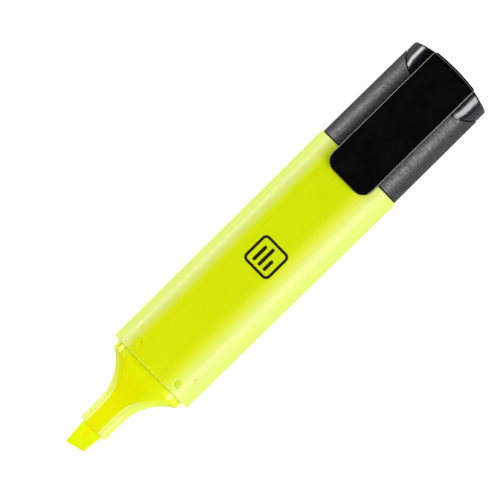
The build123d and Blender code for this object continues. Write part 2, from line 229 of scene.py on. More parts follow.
def make_object(name, points, faces):
    mesh = bpy.data.meshes.new(name)
    mesh.from_pydata([tuple(point) for point in points], [], faces)
    obj = bpy.data.objects.new(name, mesh)
    bpy.context.scene.collection.objects.link(obj)
    work = bmesh.new()
    work.from_mesh(mesh)
    bmesh.ops.recalc_face_normals(work, faces=work.faces)
    work.to_mesh(mesh)
    work.free()
    return obj


def loft(name, rings, closed=False):
    """Skin through rings of equal count, capped at both ends, or closed on itself like a tube's wall."""
    count, total = len(rings[0]), len(rings)
    faces = []
    for first in range(total if closed else total - 1):
        a, b = first * count, (first + 1) % total * count
        for k in range(count):
            after = (k + 1) % count
            faces.append((a + k, a + after, b + after, b + k))
    if not closed:
        faces.append(tuple(range(count)))
        faces.append(tuple(range((total - 1) * count, total * count)))
    return make_object(name, np.concatenate(rings) * MM, faces)


def refresh(obj):
    """Turns an object's modifiers into mesh."""
    bpy.context.view_layer.update()
    graph = bpy.context.evaluated_depsgraph_get()
    mesh = bpy.data.meshes.new_from_object(obj.evaluated_get(graph))
    obj.modifiers.clear()
    obj.data = mesh
    return obj


def combine(obj, tool, operation):
    """UNION or DIFFERENCE of an object with a tool, which is used up."""
    modifier = obj.modifiers.new("combine", "BOOLEAN")
    modifier.operation = operation
    modifier.solver = "EXACT"
    modifier.object = tool
    refresh(obj)
    bpy.data.objects.remove(tool)
    return obj


def gather(first, *others):
    """Puts other objects' meshes into the first."""
    work = bmesh.new()
    for obj in (first, *others):
        work.from_mesh(obj.data)
    work.to_mesh(first.data)
    work.free()
    for obj in others:
        bpy.data.objects.remove(obj)
    return first


def finish_skin(obj, angle=32):
    """Smooth shading that stays crisp over edges sharper than the angle."""
    obj.data.shade_smooth()
    obj.data.set_sharp_from_angle(angle=math.radians(angle))
    return obj


def stud(name, centre, normal, profile, steps=40):
    """Round solid about an axis. The profile pairs a radius with a height above the centre."""
    turn = Vector((0, 0, 1)).rotation_difference(Vector(normal)).to_matrix()
    rings = []
    for radius, height in profile:
        angles = [2 * math.pi * step / steps for step in range(steps)]
        spots = [turn @ Vector((radius * math.cos(a), radius * math.sin(a), height)) for a in angles]
        rings.append(np.array([tuple(Vector(centre) + spot) for spot in spots]))
    return loft(name, rings)


def rounded_plan(start, end, span, front_corner, rear_corner, bowed=True, steps=14):
    """Plan (x, y) of a plate along the pen, anticlockwise. A bowed rear edge stands out in the middle."""
    half = span / 2
    corners = (
        (end - rear_corner, -half + rear_corner, rear_corner, -90),
        (end - rear_corner, half - rear_corner, rear_corner, 0),
        (start + front_corner, half - front_corner, front_corner, 90),
        (start + front_corner, -half + front_corner, front_corner, 180),
    )
    points = []
    for number, (x, y, radius, first_angle) in enumerate(corners):
        for step in range(steps + 1):
            angle = math.radians(first_angle + 90 * step / steps)
            points.append((x + radius * math.cos(angle), y + radius * math.sin(angle)))
        if number == 0:
            stretch = half - rear_corner
            points += [(end, -stretch + 2 * stretch * k / 20) for k in range(1, 20)]
    plan = np.array(points)
    if bowed:
        share = np.clip((plan[:, 0] - (end - 1.0)) / 0.6, 0, 1)
        plan[:, 0] -= share * (CLIP_BOW_RADIUS - np.sqrt(CLIP_BOW_RADIUS ** 2 - plan[:, 1] ** 2))
    plan[:, 0] += TIP_X
    return plan


def slab(name, plan, low_z, high_z, low_round, high_round, steps=5):
    """Upright plate over a plan, with its lower and upper edges rounded."""
    edge = np.roll(plan, -1, axis=0) - np.roll(plan, 1, axis=0)
    edge /= np.linalg.norm(edge, axis=1)[:, None]
    outward = np.column_stack((edge[:, 1], -edge[:, 0]))

    def level(inset, z):
        return np.column_stack((plan - outward * inset, np.full(len(plan), z)))

    turns = [math.radians(90 * step / steps) for step in range(steps + 1)]
    rings = [level(low_round + 0.12, low_z)]
    rings += [level(low_round * (1 - math.sin(t)), low_z + low_round * (1 - math.cos(t))) for t in turns]
    rings += [level(high_round * (1 - math.cos(t)), high_z - high_round * (1 - math.sin(t))) for t in turns]
    rings.append(level(high_round + 0.12, high_z))
    return loft(name, rings)


def block(name, size, centre, round_edge, turn_x=0.0):
    """Rectangular lug with rounded edges, turned about the pen's axis."""
    work = bmesh.new()
    bmesh.ops.create_cube(work, size=1.0)
    bmesh.ops.scale(work, vec=Vector(size) * MM, verts=work.verts)
    bmesh.ops.bevel(
        work, geom=list(work.edges), offset=round_edge * MM, segments=3, profile=0.5, affect="EDGES")
    mesh = bpy.data.meshes.new(name)
    work.to_mesh(mesh)
    work.free()
    mesh.transform(Matrix.Translation(Vector(centre) * MM) @ Matrix.Rotation(math.radians(turn_x), 4, "X"))
    obj = bpy.data.objects.new(name, mesh)
    bpy.context.scene.collection.objects.link(obj)
    return obj


def mounted(obj, body, node, angle=32):
    """Last step for a piece that stands for a CAD node."""
    finish_skin(obj, angle)
    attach(obj, body)
    if node:
        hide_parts(node)
    return obj


# ---------------------------------------------------------------- barrel

def barrel_section(station):
    share = (station - BARREL_START) / (BARREL_END - BARREL_START)
    width = BARREL_FRONT_WIDTH + share * (BARREL_REAR_WIDTH - BARREL_FRONT_WIDTH)
    return width, BARREL_THICKNESS, BARREL_CORNER


def barrel_height(station, offset):
    """Height of the barrel's broad face above the pen's axis."""
    width, thickness, corner = barrel_section(station)
    beyond = max(abs(offset) - (width / 2 - corner), 0.0)
    return thickness / 2 - corner + math.sqrt(corner ** 2 - beyond ** 2)


def make_pip(side, face):
    """Low dome on the barrel's shoulder, square to its surface."""
    ball = (PIP_RADIUS ** 2 + PIP_RISE ** 2) / (2 * PIP_RISE)
    profile = [(PIP_RADIUS, -0.5)]
    for share in (1.0, 0.88, 0.74, 0.58, 0.4, 0.2, 0.05):
        radius = PIP_RADIUS * share
        profile.append((radius, math.sqrt(ball ** 2 - radius ** 2) - ball + PIP_RISE))
    width, _, corner = barrel_section(PIP_STATION)
    lean = (PIP_OFFSET - (width / 2 - corner)) / corner
    normal = (0, side * lean, face * math.sqrt(1 - lean ** 2))
    height = face * barrel_height(PIP_STATION, PIP_OFFSET)
    spot = (TIP_X + PIP_STATION, side * PIP_OFFSET, AXIS_Z + height)
    return stud("dome", spot, normal, profile, 36)


def make_barrel():
    """Open tube with peg holes and locating pips behind its shoulder."""
    front, rear = barrel_section(BARREL_START), barrel_section(BARREL_END)
    rings = [ring(BARREL_START + LIP_ROUND, BORE), ring(BARREL_START, BORE, -LIP_ROUND)]
    rings += rounding(BARREL_START, front, SHOULDER_ROUND, 1)
    stations = np.linspace(BARREL_START + 1.2, BARREL_END - 1.0, 26)
    rings += [ring(s, barrel_section(s)) for s in stations]
    rings += reversed(rounding(BARREL_END, rear, BARREL_END_ROUND, -1))
    rings += [ring(BARREL_END, BORE, -0.1), ring(BARREL_END - 0.1, BORE)]
    tube = loft("barrel_tube", rings, closed=True)
    domes = [make_pip(side, face) for side in SIDES for face in SIDES]
    drills = []
    for side in SIDES:
        spot = (TIP_X + PEG_STATION, side * PEG_OFFSET, AXIS_Z)
        reach = BARREL_THICKNESS
        drills.append(stud("drill", spot, (0, 0, 1), [(PEG_HOLE_RADIUS, -reach), (PEG_HOLE_RADIUS, reach)]))
    combine(tube, gather(*domes), "UNION")
    combine(tube, gather(*drills), "DIFFERENCE")
    return mounted(tube, "pen", "barrel")


# ---------------------------------------------------------------- front section

def flare_section(station):
    """Widens from nozzle to collar along an arc that leaves the nozzle straight. Thickens in a wave."""
    run = COLLAR_START - FLARE_START
    rise = (COLLAR[0] - NOZZLE[0]) / 2
    radius = (run ** 2 + rise ** 2) / (2 * rise)
    across = (radius - math.sqrt(radius ** 2 - (station - FLARE_START) ** 2)) / rise
    upward = (1 - math.cos(math.pi * (station - FLARE_START) / run)) / 2
    return tuple(a + share * (b - a) for a, b, share in zip(NOZZLE, COLLAR, (across, upward, across)))


def make_peg(side, face):
    """Snap peg on the skirt, which stops just under the barrel's surface."""
    def height(spot):
        return barrel_height(PEG_STATION, spot) - PEG_RECESS

    rings = []
    for share, drop in ((1.0, PEG_ROOT), (1.0, 0.06), (0.97, 0.02), (0.92, 0.0), (0.6, 0.0), (0.2, 0.0)):
        spots = []
        for step in range(40):
            angle = 2 * math.pi * step / 40
            x = TIP_X + PEG_STATION + PEG_RADIUS * share * math.cos(angle)
            y = side * PEG_OFFSET + PEG_RADIUS * share * math.sin(angle)
            spots.append((x, y, AXIS_Z + face * (height(y) - drop)))
        rings.append(np.array(spots))
    return loft("peg", rings)


def make_front_moulding():
    """Nozzle, flared neck and collar in one, with the skirt that snaps into the barrel."""
    flare = np.linspace(FLARE_START, COLLAR_START, 30)
    nib_bore = (NIB[0] + 0.06, NIB[1] + 0.06, NIB[2])
    rings = [ring(NOZZLE_MOUTH + 0.12, nib_bore), ring(NOZZLE_MOUTH, nib_bore, -0.12)]
    rings += rounding(NOZZLE_MOUTH, NOZZLE, NOZZLE_ROUND, 1)
    rings += [ring(s, NOZZLE) for s in (8.2, 9.6, 11.2, 12.4)]
    rings += [ring(s, flare_section(s)) for s in flare]
    rings += [ring(s, COLLAR) for s in (COLLAR_START + 0.5, BARREL_START - 0.02, BARREL_START)]
    rings += [ring(BARREL_START, BORE, 0.12), ring(BARREL_START + 0.12, BORE)]
    rings += [ring(SKIRT_END - SKIRT_CHAMFER, BORE), ring(SKIRT_END, BORE, SKIRT_CHAMFER)]
    rings += [ring(SKIRT_END, BORE, SKIRT_WALL), ring(BARREL_START, BORE, SKIRT_WALL)]
    rings += [ring(BARREL_START, COLLAR, FRONT_WALL), ring(COLLAR_START, COLLAR, FRONT_WALL)]
    inner = [s for s in reversed(flare) if HOLLOW_START < s < COLLAR_START - 0.3]
    rings += [ring(s, flare_section(s), FRONT_WALL) for s in inner[::3]]
    rings += [ring(HOLLOW_START, nib_bore)]
    body = loft("front_moulding", rings, closed=True)
    lugs = []
    length, wide, deep = COLLAR_RIB_SIZE
    for angle in COLLAR_RIB_ANGLES:
        reach = COLLAR[2] + COLLAR_RIB_RISE - deep / 2
        y = COLLAR[0] / 2 - COLLAR[2] + reach * math.sin(math.radians(angle))
        z = COLLAR[1] / 2 - COLLAR[2] + reach * math.cos(math.radians(angle))
        for side in SIDES:
            for face in SIDES:
                centre = (TIP_X + BARREL_START - length / 2 - 0.01, side * y, AXIS_Z + face * z)
                lugs.append(block("rib", (length, wide, deep), centre, 0.08, -side * face * angle))
    pegs = [make_peg(side, face) for side in SIDES for face in SIDES]
    combine(body, gather(*lugs, *pegs), "UNION")
    return mounted(body, "pen", "front_section")


# ---------------------------------------------------------------- nib

def make_nib():
    """Felt chisel nib: a slanted writing edge, bevelled on both faces, with short loose fibres."""
    def widest(station):
        share = min(max(station / NOZZLE_MOUTH, 0.0), 1.0)
        back = min(max((NIB_END - station) / NIB_POINT_LENGTH, 0.0), 1.0)
        width = NIB_TIP_WIDTH + share * (NIB[0] - NIB_TIP_WIDTH)
        return width * (0.6 + 0.4 * back)

    def thickest(station):
        share = min(max(station / NIB_BEVEL, 0.0), 1.0)
        return NIB_EDGE_THICKNESS + share * (NIB[1] - NIB_EDGE_THICKNESS)

    rings = []
    tip = [NIB_TIP_ROUND * (1 - math.cos(math.radians(a))) for a in (0, 22, 45, 67, 90)]
    shaft = [9, 14, 20, 26, 31, NIB_END - NIB_POINT_LENGTH, NIB_END]
    stations = tip + list(np.arange(0.5, 7.6, 0.16)) + shaft
    for station in stations:
        left = max(NIB_TIP_ROUND - station, 0.0)
        inset = NIB_TIP_ROUND - math.sqrt(NIB_TIP_ROUND ** 2 - left ** 2)
        corner = 0.3 + 0.15 * min(station / NIB_BEVEL, 1.0)
        section = (widest(station), thickest(station), corner)
        straighten = min(max((station - NIB_BEVEL) / (NOZZLE_MOUTH - NIB_BEVEL), 0.0), 1.0)
        slant = NIB_SLANT * (1 - straighten ** 2 * (3 - 2 * straighten))

        def lean(y, z, station=station, slant=slant):
            return station + slant * (0.5 - y / NIB_TIP_WIDTH)

        rings.append(ring(lean, section, inset))
    core = loft("felt_nib", rings)
    work = bmesh.new()
    work.from_mesh(core.data)
    work.normal_update()
    for vertex in work.verts:
        x, y, z = vertex.co / MM
        if x - TIP_X < FIBRE_REACH:
            along = noise.noise(Vector((x * 0.9, y * 6.0, z * 6.0)))
            tuft = noise.noise(Vector((x * 5.0 + 7, y * 5.0, z * 5.0)))
            depth = FIBRE_DEPTH * min(max(0.5 + 0.6 * along + 0.4 * tuft, 0.0), 1.0)
            vertex.co -= vertex.normal * depth * MM
    work.to_mesh(core.data)
    work.free()
    return mounted(core, "pen", "nib", 50)


# ---------------------------------------------------------------- cap

def sleeve_edge(offset):
    """Station where the sleeve stops: straight over the middle, swept back at the pen's sides."""
    beyond = min(max(abs(offset) - SLEEVE_EDGE_FLAT, 0.0), SLEEVE_EDGE_RADIUS)
    return SLEEVE_EDGE + SLEEVE_EDGE_RADIUS - math.sqrt(SLEEVE_EDGE_RADIUS ** 2 - beyond ** 2)


def back_face(offset):
    """Station of the cap's bowed back face."""
    return CAP_END - CAP_BOW_RADIUS + np.sqrt(CAP_BOW_RADIUS ** 2 - offset ** 2)


def sleeve_section(station):
    share = (station - CAP_START) / (SLEEVE_TAPER_END - CAP_START)
    width = SLEEVE_FRONT_WIDTH + share * (SLEEVE_REAR_WIDTH - SLEEVE_FRONT_WIDTH)
    return width, SLEEVE_THICKNESS, SLEEVE_CORNER


def make_cap_skin():
    """Matte sleeve over the cap's shell."""
    straight = 118.0
    rear = sleeve_section(SLEEVE_EDGE + 1)
    rings = [ring(CAP_START, CAP_TUBE)]
    rings += rounding(CAP_START, sleeve_section(CAP_START), SLEEVE_ROUND, 1)
    rings += [ring(s, sleeve_section(s)) for s in np.linspace(CAP_START + 1, straight, 16)]
    for share in (0.25, 0.5, 0.75, 0.93):
        rings.append(ring(lambda y, z, k=share: straight + k * (sleeve_edge(y) - straight), rear))
    rings.append(ring(lambda y, z: sleeve_edge(y) - 0.1, rear))
    rings.append(ring(lambda y, z: sleeve_edge(y) - 0.03, rear, 0.03))
    rings.append(ring(lambda y, z: sleeve_edge(y), rear, 0.1))
    rings.append(ring(lambda y, z: sleeve_edge(y), CAP_TUBE))
    rings.append(ring(straight, CAP_TUBE))
    return mounted(loft("cap_skin", rings, closed=True), "cap", "cap_sleeve")


def make_cap_end():
    """Inner cap in one moulding: tube, bowed end, and the clip's seat with a flange behind it."""
    def tail(inset, share=1.0, trim=0.0):
        flat = outline(drawn_in(CAP_END_SECTION, inset)) * share
        along = back_face(flat[:, 0]) - trim
        return np.column_stack((TIP_X + along, flat[:, 0], AXIS_Z + flat[:, 1]))

    def front(inset, setback):
        return ring(lambda y, z: sleeve_edge(y) + GROOVE + setback, CAP_END_SECTION, inset)

    bore_cap = [outline(CAP_BORE) * share for share in (0.1, 0.5, 0.96)]
    rings = [np.column_stack((np.full(len(flat), TIP_X + CAP_BORE_END), flat[:, 0], AXIS_Z + flat[:, 1]))
             for flat in bore_cap]
    rings += [ring(CAP_BORE_END, CAP_BORE), ring(110.0, CAP_BORE), ring(TUBE_START, CAP_BORE)]
    rings += [ring(TUBE_START, CAP_TUBE), ring(105.0, CAP_TUBE), ring(117.0, CAP_TUBE)]
    rings += [ring(lambda y, z: sleeve_edge(y) + 0.02, CAP_TUBE)]
    rings += [ring(lambda y, z: sleeve_edge(y) + 0.02, CAP_END_SECTION, GROOVE_DEPTH)]
    rings += [front(GROOVE_DEPTH, 0.0)]
    rings += [front(END_EDGE_ROUND, 0.0), front(END_EDGE_ROUND * 0.3, 0.04), front(0.0, END_EDGE_ROUND)]
    shoulder = tail(0.0, trim=END_ROUND)
    edge = front(0.0, END_EDGE_ROUND)
    rings += [edge + (shoulder - edge) * share for share in (0.3, 0.6, 0.9)]
    for step in range(10):
        inset = END_ROUND * (1 - math.cos(math.radians(90 * step / 9)))
        trim = END_ROUND * (1 - math.sin(math.radians(90 * step / 9)))
        rings.append(tail(inset, trim=trim))
    rings += [tail(END_ROUND, share) for share in (0.9, 0.7, 0.5, 0.3, 0.1)]
    body = loft("cap_end_moulding", rings)

    seat_plan = rounded_plan(SEAT_START, BACK - 0.05, SEAT_SPAN, SEAT_CORNER, 0.3)
    seat = slab("seat", seat_plan, SEAT_BOTTOM, SEAT_TOP, 0.1, 0.15)
    flange_plan = rounded_plan(EAR_START, BACK, FLANGE_SPAN, 0.15, 0.12)
    flange = slab("flange", flange_plan, FLANGE_BOTTOM, FLANGE_TOP, 0.1, FLANGE_ROUND)
    room_plan = rounded_plan(EAR_START - 3, FLANGE_START, CLIP_WIDTH + 2 * EAR_GAP, 0.3, 0.2)
    room = slab("room", room_plan, SEAT_TOP, FLANGE_TOP + 2, 0.05, 0.1)
    combine(flange, room, "DIFFERENCE")
    combine(body, flange, "UNION")
    combine(body, seat, "UNION")
    pocket_size = (POCKET[1] - POCKET[0], POCKET_SPAN, FLANGE_TOP + 1 - POCKET_FLOOR)
    pocket_middle = (TIP_X + sum(POCKET) / 2, 0, (FLANGE_TOP + 1 + POCKET_FLOOR) / 2)
    combine(body, block("pocket", pocket_size, pocket_middle, 0.1), "DIFFERENCE")
    return mounted(body, "cap", "cap_shell", 28)


# ---------------------------------------------------------------- clip

def make_clip():
    """Flat clip blade with a foot in the cap's seat and a grip bar under its free end."""
    plan = rounded_plan(CLIP_START, CLIP_END, CLIP_WIDTH, CLIP_FREE_CORNER, 0.2)
    blade = slab("clip_blade", plan, CLIP_UNDERSIDE, CLIP_TOP, CLIP_LOWER_ROUND, CLIP_TOP_ROUND, 7)
    inside = CLIP_TOP - 0.8
    foot_size = (FOOT[1] - FOOT[0], FOOT_SPAN, inside - FOOT_BOTTOM)
    foot = block("foot", foot_size, (TIP_X + sum(FOOT) / 2, 0, (inside + FOOT_BOTTOM) / 2), 0.15)
    half = GRIP_SPAN / 2
    spot = (TIP_X + GRIP_STATION, 0, GRIP_BOTTOM + GRIP_RADIUS)
    ends = [(GRIP_RADIUS * math.sin(math.radians(a)), half - 0.5 * (1 - math.cos(math.radians(a))))
            for a in (10, 35, 60, 90)]
    profile = [(r, -h) for r, h in ends] + [(r, h) for r, h in reversed(ends)]
    bar = stud("bar", spot, (0, 1, 0), profile, 48)
    combine(blade, foot, "UNION")
    combine(blade, bar, "UNION")
    return mounted(blade, "clip", "clip")


# ---------------------------------------------------------------- printed mark

def make_mark():
    """Plain rounded square with three lines in it, printed in black on the barrel's broad face."""
    base, top = AXIS_Z + BARREL_THICKNESS / 2 - MARK_SINK, AXIS_Z + BARREL_THICKNESS / 2 + MARK_RISE

    def border(inset, z):
        half, corner = MARK_SIZE / 2 - inset, MARK_CORNER - inset
        plan = rounded_plan(
            MARK_STATION - half, MARK_STATION + half, 2 * half, corner, corner, bowed=False)
        return np.column_stack((plan, np.full(len(plan), z)))

    rings = [border(0, base), border(0, top), border(MARK_LINE, top), border(MARK_LINE, base)]
    mark = loft("printed_mark", rings, closed=True)
    bars = []
    for across, length in MARK_BARS:
        start = MARK_STATION - MARK_BARS[1][1] / 2
        plan = rounded_plan(start, start + length, MARK_BAR_WIDTH, 0.4, 0.4, bowed=False)
        bars.append(slab("bar", plan + (0, across), base, top, 0.004, 0.004, 1))
    gather(mark, *bars)
    return mounted(mark, "pen", None)


# ---------------------------------------------------------------- material tools

class Bench:
    """Lays out nodes in one tree. Places are in millimetres in the piece's own frame."""

    def __init__(self, tree):
        self.tree = tree

    def feed(self, socket, value):
        if isinstance(value, bpy.types.NodeSocket):
            self.tree.links.new(value, socket)
        else:
            socket.default_value = value

    def put(self, kind, inputs=None, **settings):
        node = self.tree.nodes.new("ShaderNode" + kind)
        for key, value in settings.items():
            setattr(node, key, value)
        for key, value in (inputs or {}).items():
            self.feed(node.inputs[key], value)
        return node

    def calc(self, operation, *values):
        return self.put("Math", dict(enumerate(values)), operation=operation).outputs[0]

    def between(self, value, start, end, first=0.0, last=1.0):
        """Smooth step from first to last as the value goes from start to end."""
        if start > end:
            start, end, first, last = end, start, last, first
        inputs = {0: value, 1: start, 2: end, 3: first, 4: last}
        return self.put("MapRange", inputs, interpolation_type="SMOOTHSTEP").outputs[0]

    def mix(self, share, first, second):
        node = self.put("Mix", data_type="RGBA")
        self.feed(node.inputs[0], share)
        self.feed(node.inputs[6], first)
        self.feed(node.inputs[7], second)
        return node.outputs[2]

    def place(self):
        """Place in millimetres."""
        spot = self.put("TexCoord").outputs["Object"]
        return self.put("VectorMath", {0: spot, "Scale": 1 / MM}, operation="SCALE").outputs[0]

    def parts(self, vector):
        return self.put("SeparateXYZ", {0: vector}).outputs

    def distance(self, x, y, spot_x, spot_y):
        """Distance in plan from a spot."""
        away = {0: self.calc("SUBTRACT", x, spot_x), 1: self.calc("SUBTRACT", y, spot_y)}
        away = self.put("CombineXYZ", away).outputs[0]
        return self.put("VectorMath", {0: away}, operation="LENGTH").outputs["Value"]

    def stretch(self, vector, amounts):
        return self.put("VectorMath", {0: vector, 1: amounts}, operation="MULTIPLY").outputs[0]

    def cloud(self, vector, scale, detail=3.0, roughness=0.55):
        inputs = {"Vector": vector, "Scale": scale, "Detail": detail, "Roughness": roughness}
        return self.put("TexNoise", inputs).outputs[0]

    def use(self, group, inputs):
        node = self.tree.nodes.new("ShaderNodeGroup")
        node.node_tree = group
        for key, value in inputs.items():
            self.feed(node.inputs[key], value)
        return node.outputs


def make_group(name, inputs, outputs):
    """Node group with named values in and out. Inputs are numbers, except Place."""
    tree = bpy.data.node_groups.new(name, "ShaderNodeTree")
    tree.interface.new_socket("Place", in_out="INPUT", socket_type="NodeSocketVector")
    for label in inputs:
        tree.interface.new_socket(label, in_out="INPUT", socket_type="NodeSocketFloat")
    for label in outputs:
        tree.interface.new_socket(label, in_out="OUTPUT", socket_type="NodeSocketFloat")
    given = tree.nodes.new("NodeGroupInput").outputs
    out = tree.nodes.new("NodeGroupOutput").inputs
    return tree, Bench(tree), given, out


def group_moulded_skin():
    """Surface of a moulding: fine spark-eroded grain, and slow unevenness from cooling."""
    tree, bench, given, out = make_group("moulded_skin", ("Grain", "Grain share"), ("Height", "Patch"))
    fine = bench.cloud(given["Place"], given["Grain"], 4.0, 0.65)
    slow = bench.cloud(given["Place"], 0.16, 3.0)
    share = given["Grain share"]
    grain = bench.calc("MULTIPLY", fine, share)
    rest = bench.calc("MULTIPLY", slow, bench.calc("SUBTRACT", 1.0, share))
    bench.feed(out["Height"], bench.calc("ADD", grain, rest))
    bench.feed(out["Patch"], bench.between(slow, 0.3, 0.7))
    return tree


def group_handling_wear():
    """Marks from use: fine scratches mostly along the pen, rubbed patches, and specks of dust."""
    tree, bench, given, out = make_group("handling_wear", ("Amount",), ("Scuffs", "Dust"))
    along = bench.stretch(given["Place"], (0.35, 6.0, 6.0))
    hair = bench.between(bench.cloud(along, 1.3, 2.0), 0.56, 0.66)
    area = bench.between(bench.cloud(given["Place"], 0.22, 3.0), 0.42, 0.68)
    rubbed = bench.calc("ADD", bench.calc("MULTIPLY", hair, 0.6), 0.4)
    scuffs = bench.calc("MULTIPLY", bench.calc("MULTIPLY", area, rubbed), given["Amount"])
    bench.feed(out["Scuffs"], scuffs)
    dust = bench.between(bench.cloud(given["Place"], 3.4, 1.0), 0.72, 0.78)
    bench.feed(out["Dust"], bench.calc("MULTIPLY", dust, given["Amount"]))
    return tree


def group_fibre():
    """Fibres that run along the pen, wet with ink."""
    tree, bench, given, out = make_group("fibre", ("Coarseness",), ("Height", "Streak"))
    along = bench.stretch(given["Place"], (0.5, 5.0, 5.0))
    strand = bench.cloud(along, given["Coarseness"], 4.0, 0.65)
    tuft = bench.cloud(given["Place"], 6.0, 3.0, 0.6)
    bench.feed(out["Height"], bench.calc("ADD", strand, bench.calc("MULTIPLY", tuft, 0.5)))
    bench.feed(out["Streak"], bench.between(strand, 0.35, 0.65))
    return tree


MOULDED_SKIN = group_moulded_skin()
HANDLING_WEAR = group_handling_wear()
FIBRE = group_fibre()


def begin(name, **plain):
    """New material, its node bench, and its surface shader with plain values set."""
    made = bpy.data.materials.new(name)
    made.use_nodes = True
    made.node_tree.nodes.clear()
    bench = Bench(made.node_tree)
    shader = bench.put("BsdfPrincipled")
    output = bench.put("OutputMaterial")
    made.node_tree.links.new(shader.outputs[0], output.inputs[0])
    for key, value in plain.items():
        shader.inputs[key.replace("_", " ")].default_value = value
    return made, bench, shader


def relief(bench, shader, height, depth):
    """Bump of a real depth in millimetres."""
    bump = bench.put("Bump", {"Height": height, "Strength": 1.0, "Distance": depth * MM})
    bench.feed(shader.inputs["Normal"], bump.outputs[0])


def worn_roughness(bench, shader, smooth_value, rough_value, wear, patch):
    """Roughness that rises where the piece is scuffed, and drifts a little with the patches."""
    drift = bench.calc("MULTIPLY_ADD", patch, 0.05, smooth_value)
    rise = bench.calc("MULTIPLY", wear, rough_value - smooth_value)
    bench.feed(shader.inputs["Roughness"], bench.calc("ADD", drift, rise))


def glow(bench, shader, colour):
    """Base colour of a fluorescent plastic, also sent out as a steady glow: partly fluorescence, partly
    painted fill light that lifts its shade.
    """
    bench.feed(shader.inputs["Base Color"], colour)
    bench.feed(shader.inputs["Emission Color"], colour)
    shader.inputs["Emission Strength"].default_value = FLUORESCENT_FILL_GLOW


def srgb(red, green, blue):
    """Linear colour from a colour sampler's 0 to 255 values."""
    values = [v / 255 for v in (red, green, blue)]
    linear = [v / 12.92 if v <= 0.04045 else ((v + 0.055) / 1.055) ** 2.4 for v in values]
    return (*linear, 1.0)


# ---------------------------------------------------------------- colours

# steady glow of the yellow plastics: partly fluorescence, partly painted fill light in their shade
FLUORESCENT_FILL_GLOW = 0.13
TRANSLUCENT = {"Subsurface_Weight": 0.12, "Subsurface_Radius": (1.0, 1.0, 0.3)}

# Barrel: deep over the reservoir, with a pale band down each side, partly where only the wall is and partly
# painted sheen; painted sheen also lightens the right half.
DEEP_FRONT = srgb(217, 227, 0)
DEEP_REAR = srgb(210, 226, 0)
DEEPENING = (TIP_X + 28, TIP_X + 70)
# painted sheen: a lighter yellow over the right half of the barrel
RIGHT_SHEEN = srgb(233, 243, 66)
RIGHT_SHEEN_BAND = (-2.6, -6.6)  # places across the pen, here and in the next three
LEFT_WALL_AND_SHEEN = (6.7, 9.6)
RIGHT_WALL_AND_SHEEN = (-4.6, -8.6)
WALL_RIM = (9.5, 12.2)
WALL_AND_SHEEN_PALE = srgb(221, 231, 126)
RIM_PALE = srgb(217, 235, 110)
# painted highlights and shade at the shoulder: ring round the right peg, front edge, pips
PEG_RING_HIGHLIGHT = srgb(240, 248, 130)
LIP_HIGHLIGHT = srgb(238, 248, 96)
PIP_LIT = srgb(252, 255, 186)
PIP_SHADED = srgb(208, 222, 74)

# Front section: the same yellow, with a pale band and a thin painted highlight inside each edge, and
# painted sheen over the right side and the right-hand pegs.
NOZZLE_DEEP = srgb(236, 238, 1)
NECK_DEEP = srgb(230, 234, 0)
COLLAR_DEEP = srgb(220, 229, 1)
RIGHT_SIDE_SHEEN = srgb(228, 242, 22)
LEFT_PEG = srgb(219, 231, 1)
RIGHT_PEG_SHEEN = srgb(212, 230, 40)
NECK_PALE = srgb(230, 246, 98)
NECK_HIGHLIGHT = srgb(250, 253, 155)
NECK_HIGHLIGHT_INSET = 1.4


# ---------------------------------------------------------------- materials

def shoulder_painted_light(bench, x, y, colour):
    """Adds painted light at the barrel's shoulder: a painted highlight along its thin front edge, a painted
    bright ring round the right-hand peg, and painted lit and shaded halves on the pips.
    """
    from_peg = bench.distance(x, bench.calc("ABSOLUTE", y), TIP_X + PEG_STATION, PEG_OFFSET)
    rightward = bench.between(y, 2.0, -4.0, 0.0, 0.6)
    # painted highlight: a bright ring round the peg, on the right-hand side only
    peg_ring_highlight = bench.calc("MULTIPLY", bench.between(from_peg, 1.6, 1.25), rightward)
    colour = bench.mix(peg_ring_highlight, colour, PEG_RING_HIGHLIGHT)
    # painted highlight along the barrel's front edge, against the shade of the step
    lip_painted_light = bench.between(x, TIP_X + BARREL_START + 0.5, TIP_X + BARREL_START, 0.0, 0.5)
    colour = bench.mix(lip_painted_light, colour, LIP_HIGHLIGHT)
    # painted highlight on the outer half of each left-hand pip and painted shade on its inner half
    on_pip = bench.between(bench.distance(x, y, TIP_X + PIP_STATION, PIP_OFFSET), 0.75, 0.6)
    lit = bench.calc("MULTIPLY", on_pip, bench.between(y, PIP_OFFSET, PIP_OFFSET + 0.25))
    shaded = bench.calc("MULTIPLY", on_pip, bench.between(y, PIP_OFFSET, PIP_OFFSET - 0.2, 0.0, 0.8))
    return bench.mix(lit, bench.mix(shaded, colour, PIP_SHADED), PIP_LIT)


